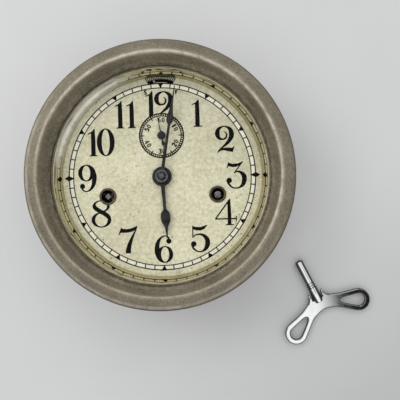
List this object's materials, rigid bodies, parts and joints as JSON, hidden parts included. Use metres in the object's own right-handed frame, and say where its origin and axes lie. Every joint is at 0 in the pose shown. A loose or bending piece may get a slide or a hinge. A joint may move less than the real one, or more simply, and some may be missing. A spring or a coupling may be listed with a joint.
{
  "type": "ships deck clock",
  "caption": "Round ship's clock with a screw-on bezel, mirrored inner ring, seconds dial, slow-fast lever, spring-driven lever movement and separate winding key.",
  "frame": {"origin": "centre of the flat back face", "axes": "+Z out of the dial, +Y towards 12, +X towards 3; the clock lies on its back"},
  "size_m": [0.233, 0.2096, 0.067],
  "materials": {
    "nickel": "worn nickel plate",
    "brass": "turned, lightly tarnished",
    "steel": "turned",
    "blued_steel": "blued to near black",
    "spring_steel": "tempered",
    "dial_face": "aged matt cream with black printing",
    "glass": "clear, polished",
    "chrome": "bright polished"
  },
  "bodies": {
    "case": {"case_drum": "nickel", "reflector_ring": "chrome", "dial_plate": "dial_face", "left_winding_eyelet": "brass", "right_winding_eyelet": "brass", "back_plate": "brass", "front_plate": "brass", "balance_cock": "brass", "cock_screw": "steel", "pillar_1": "brass", "pillar_2": "brass", "pillar_3": "brass", "pillar_4": "brass", "plate_screw_1": "steel", "plate_screw_2": "steel", "plate_screw_3": "steel", "plate_screw_4": "steel", "case_screw_1": "steel", "case_screw_2": "steel", "case_screw_3": "steel", "case_screw_4": "steel"},
    "glass_unit": {"glass": "glass", "glass_retaining_ring": "brass"},
    "bezel": {"bezel_ring": "nickel"},
    "minute": {"centre_arbor": "steel", "centre_wheel": "brass", "cannon_pinion": "steel", "minute_hand": "blued_steel", "hand_nut": "blued_steel"},
    "hour": {"hour_wheel": "brass", "hour_hand": "blued_steel"},
    "minute_wheel": {"minute_wheel": "brass"},
    "second": {"second_arbor": "steel", "second_wheel": "brass"},
    "third": {"third_arbor": "steel", "third_wheel": "brass"},
    "fourth": {"fourth_arbor": "steel", "fourth_wheel": "brass", "seconds_hand": "blued_steel"},
    "escape": {"escape_arbor": "steel", "escape_wheel": "brass"},
    "pallet": {"pallet_fork": "steel"},
    "balance": {"balance_wheel": "brass", "balance_staff": "steel", "hairspring": "spring_steel"},
    "regulator": {"regulator": "steel"},
    "left_barrel": {"left_barrel": "brass", "left_barrel_cover": "brass", "left_mainspring": "spring_steel"},
    "right_barrel": {"right_barrel": "brass", "right_barrel_cover": "brass", "right_mainspring": "spring_steel"},
    "left_winding": {"left_winding_arbor": "steel", "left_ratchet": "steel"},
    "right_winding": {"right_winding_arbor": "steel", "right_ratchet": "steel"},
    "left_click": {"left_click": "steel"},
    "right_click": {"right_click": "steel"},
    "key": {"key_barrel": "chrome", "key_wings": "chrome"}
  },
  "joints": [
    {"name": "bezel_lift", "type": "slide", "parent": "case", "child": "glass_unit", "axis": [0, 0, 1], "range_m": [0, 0.07]},
    {"name": "bezel_turn", "type": "hinge", "parent": "glass_unit", "child": "bezel", "pos_m": [0, 0, 0.06], "axis": [0, 0, 1], "range_deg": [0, 1080]},
    {"name": "minute_turn", "type": "hinge", "parent": "case", "child": "minute", "pos_m": [0, 0, 0.05], "axis": [0, 0, 1], "continuous": true},
    {"name": "hour_turn", "type": "hinge", "parent": "case", "child": "hour", "pos_m": [0, 0, 0.05], "axis": [0, 0, 1], "continuous": true},
    {"name": "minute_wheel_turn", "type": "hinge", "parent": "case", "child": "minute_wheel", "pos_m": [-0.01247, -0.0072, 0.04], "axis": [0, 0, 1], "continuous": true},
    {"name": "second_turn", "type": "hinge", "parent": "case", "child": "second", "pos_m": [0, -0.0203, 0.02], "axis": [0, 0, 1], "continuous": true},
    {"name": "left_barrel_turn", "type": "hinge", "parent": "case", "child": "left_barrel", "pos_m": [-0.035, -0.0119, 0.02], "axis": [0, 0, 1], "continuous": true},
    {"name": "right_barrel_turn", "type": "hinge", "parent": "case", "child": "right_barrel", "pos_m": [0.035, -0.0119, 0.02], "axis": [0, 0, 1], "continuous": true},
    {"name": "third_turn", "type": "hinge", "parent": "case", "child": "third", "pos_m": [0.0116, 0.0138, 0.03], "axis": [0, 0, 1], "continuous": true},
    {"name": "seconds_turn", "type": "hinge", "parent": "case", "child": "fourth", "pos_m": [0, 0.0262, 0.03], "axis": [0, 0, 1], "continuous": true},
    {"name": "escape_turn", "type": "hinge", "parent": "case", "child": "escape", "pos_m": [-0.01458, 0.02903, 0.028], "axis": [0, 0, 1], "continuous": true},
    {"name": "left_winding_turn", "type": "hinge", "parent": "case", "child": "left_winding", "pos_m": [-0.035, -0.0119, 0.04], "axis": [0, 0, 1], "range_deg": [-2160, 0]},
    {"name": "right_winding_turn", "type": "hinge", "parent": "case", "child": "right_winding", "pos_m": [0.035, -0.0119, 0.04], "axis": [0, 0, 1], "range_deg": [-2160, 0]},
    {"name": "left_click_swing", "type": "hinge", "parent": "case", "child": "left_click", "pos_m": [-0.044, -0.0034, 0.039], "axis": [0, 0, 1], "range_deg": [0, 15]},
    {"name": "right_click_swing", "type": "hinge", "parent": "case", "child": "right_click", "pos_m": [0.044, -0.0034, 0.039], "axis": [0, 0, 1], "range_deg": [-15, 0]},
    {"name": "pallet_rock", "type": "hinge", "parent": "case", "child": "pallet", "pos_m": [-0.01382, 0.03619, 0.028], "axis": [0, 0, 1], "range_deg": [-4, 4]},
    {"name": "balance_swing", "type": "hinge", "parent": "case", "child": "balance", "pos_m": [0, 0.0414, 0.033], "axis": [0, 0, 1], "range_deg": [-220, 220], "stiffness_Nm_per_rad": 0.000025},
    {"name": "regulator_swing", "type": "hinge", "parent": "case", "child": "regulator", "pos_m": [0, 0.0414, 0.042], "axis": [0, 0, 1], "range_deg": [-32, 8]},
    {"name": "key_lift", "type": "slide", "parent": "case", "child": "key", "axis": [0, 0, 1], "range_m": [0, 0.1]}
  ],
  "couplings": [
    {"joint": "hour_turn", "follows": "minute_turn", "ratio": 0.083333},
    {"joint": "minute_wheel_turn", "follows": "minute_turn", "ratio": -0.33333},
    {"joint": "second_turn", "follows": "minute_turn", "ratio": -0.13333},
    {"joint": "left_barrel_turn", "follows": "minute_turn", "ratio": 0.033333},
    {"joint": "right_barrel_turn", "follows": "minute_turn", "ratio": 0.033333},
    {"joint": "third_turn", "follows": "minute_turn", "ratio": -8},
    {"joint": "seconds_turn", "follows": "minute_turn", "ratio": 60},
    {"joint": "escape_turn", "follows": "minute_turn", "ratio": -600}
  ]
}
